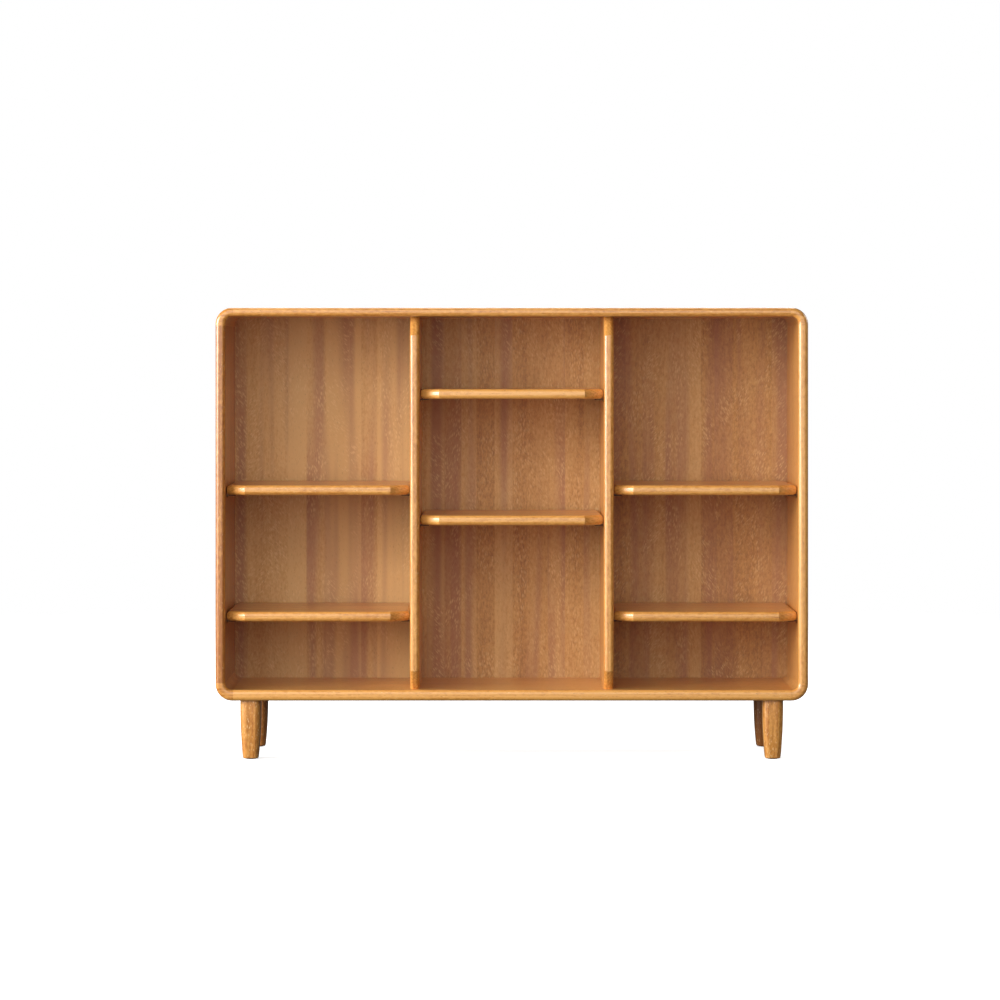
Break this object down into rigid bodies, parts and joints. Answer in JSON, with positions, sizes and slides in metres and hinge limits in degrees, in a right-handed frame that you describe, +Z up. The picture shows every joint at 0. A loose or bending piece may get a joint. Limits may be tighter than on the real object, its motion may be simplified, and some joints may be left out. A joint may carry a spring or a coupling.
{
  "type": "bookcase with adjustable shelves",
  "caption": "Low open bookcase in honey-coloured wood: rounded board frame, upright dividers making equal bays, shelves on pins at staggered heights, tapered legs.",
  "frame": {"origin": "on the floor, under the middle of the case", "axes": "+X to the right seen from the front, +Y to the back, +Z up; the open front faces -Y"},
  "size_m": [1.2, 0.3, 0.916],
  "materials": {
    "case_wood": "satin clear lacquer on honey-coloured solid wood",
    "shelf_wood": "satin clear lacquer on honey-coloured solid wood",
    "leg_wood": "satin clear lacquer on honey-coloured solid wood",
    "back_wood": "thin satin lacquer on edge-glued staves",
    "dowel_wood": "bare fluted beech",
    "pin_steel": "bronze-plated",
    "zinc_steel": "zinc-plated",
    "insert_brass": "turned brass",
    "glide_nylon": "moulded brown nylon"
  },
  "bodies": {
    "carcass": {"top_board": "case_wood", "bottom_board": "case_wood", "side_board_left": "case_wood", "side_board_right": "case_wood", "corner_block_top_left": "case_wood", "corner_block_top_right": "case_wood", "corner_block_bottom_left": "case_wood", "corner_block_bottom_right": "case_wood", "divider_left": "case_wood", "divider_right": "case_wood", "back_panel_left": "back_wood", "back_panel_centre": "back_wood", "back_panel_right": "back_wood", "leg_front_left": "leg_wood", "leg_front_right": "leg_wood", "leg_back_left": "leg_wood", "leg_back_right": "leg_wood", "foot_glides": "glide_nylon", "leg_bolt_front_left": "zinc_steel", "leg_bolt_front_right": "zinc_steel", "leg_bolt_back_left": "zinc_steel", "leg_bolt_back_right": "zinc_steel", "leg_inserts": "insert_brass", "corner_dowels": "dowel_wood", "divider_dowels_left": "dowel_wood", "divider_dowels_right": "dowel_wood", "divider_screws": "zinc_steel", "back_panel_screws": "zinc_steel"},
    "shelf_left_lower": {"shelf_left_lower": "shelf_wood"},
    "pins_left_lower_left": {"pins_left_lower_left": "pin_steel"},
    "pins_left_lower_right": {"pins_left_lower_right": "pin_steel"},
    "shelf_left_upper": {"shelf_left_upper": "shelf_wood"},
    "pins_left_upper_left": {"pins_left_upper_left": "pin_steel"},
    "pins_left_upper_right": {"pins_left_upper_right": "pin_steel"},
    "shelf_centre_lower": {"shelf_centre_lower": "shelf_wood"},
    "pins_centre_lower_left": {"pins_centre_lower_left": "pin_steel"},
    "pins_centre_lower_right": {"pins_centre_lower_right": "pin_steel"},
    "shelf_centre_upper": {"shelf_centre_upper": "shelf_wood"},
    "pins_centre_upper_left": {"pins_centre_upper_left": "pin_steel"},
    "pins_centre_upper_right": {"pins_centre_upper_right": "pin_steel"},
    "shelf_right_lower": {"shelf_right_lower": "shelf_wood"},
    "pins_right_lower_left": {"pins_right_lower_left": "pin_steel"},
    "pins_right_lower_right": {"pins_right_lower_right": "pin_steel"},
    "shelf_right_upper": {"shelf_right_upper": "shelf_wood"},
    "pins_right_upper_left": {"pins_right_upper_left": "pin_steel"},
    "pins_right_upper_right": {"pins_right_upper_right": "pin_steel"}
  },
  "joints": [
    {"name": "shelf_left_lower_lift", "type": "slide", "parent": "carcass", "child": "shelf_left_lower", "axis": [0, 0, 1], "range_m": [0, 0.064]},
    {"name": "pins_left_lower_left_pull", "type": "slide", "parent": "carcass", "child": "pins_left_lower_left", "axis": [1, 0, 0], "range_m": [0, 0.012]},
    {"name": "pins_left_lower_right_pull", "type": "slide", "parent": "carcass", "child": "pins_left_lower_right", "axis": [-1, 0, 0], "range_m": [0, 0.012]},
    {"name": "shelf_left_upper_lift", "type": "slide", "parent": "carcass", "child": "shelf_left_upper", "axis": [0, 0, 1], "range_m": [0, 0.064]},
    {"name": "pins_left_upper_left_pull", "type": "slide", "parent": "carcass", "child": "pins_left_upper_left", "axis": [1, 0, 0], "range_m": [0, 0.012]},
    {"name": "pins_left_upper_right_pull", "type": "slide", "parent": "carcass", "child": "pins_left_upper_right", "axis": [-1, 0, 0], "range_m": [0, 0.012]},
    {"name": "shelf_centre_lower_lift", "type": "slide", "parent": "carcass", "child": "shelf_centre_lower", "axis": [0, 0, 1], "range_m": [0, 0.064]},
    {"name": "pins_centre_lower_left_pull", "type": "slide", "parent": "carcass", "child": "pins_centre_lower_left", "axis": [1, 0, 0], "range_m": [0, 0.012]},
    {"name": "pins_centre_lower_right_pull", "type": "slide", "parent": "carcass", "child": "pins_centre_lower_right", "axis": [-1, 0, 0], "range_m": [0, 0.012]},
    {"name": "shelf_centre_upper_lift", "type": "slide", "parent": "carcass", "child": "shelf_centre_upper", "axis": [0, 0, 1], "range_m": [0, 0.064]},
    {"name": "pins_centre_upper_left_pull", "type": "slide", "parent": "carcass", "child": "pins_centre_upper_left", "axis": [1, 0, 0], "range_m": [0, 0.012]},
    {"name": "pins_centre_upper_right_pull", "type": "slide", "parent": "carcass", "child": "pins_centre_upper_right", "axis": [-1, 0, 0], "range_m": [0, 0.012]},
    {"name": "shelf_right_lower_lift", "type": "slide", "parent": "carcass", "child": "shelf_right_lower", "axis": [0, 0, 1], "range_m": [0, 0.064]},
    {"name": "pins_right_lower_left_pull", "type": "slide", "parent": "carcass", "child": "pins_right_lower_left", "axis": [1, 0, 0], "range_m": [0, 0.012]},
    {"name": "pins_right_lower_right_pull", "type": "slide", "parent": "carcass", "child": "pins_right_lower_right", "axis": [-1, 0, 0], "range_m": [0, 0.012]},
    {"name": "shelf_right_upper_lift", "type": "slide", "parent": "carcass", "child": "shelf_right_upper", "axis": [0, 0, 1], "range_m": [0, 0.064]},
    {"name": "pins_right_upper_left_pull", "type": "slide", "parent": "carcass", "child": "pins_right_upper_left", "axis": [1, 0, 0], "range_m": [0, 0.012]},
    {"name": "pins_right_upper_right_pull", "type": "slide", "parent": "carcass", "child": "pins_right_upper_right", "axis": [-1, 0, 0], "range_m": [0, 0.012]}
  ]
}
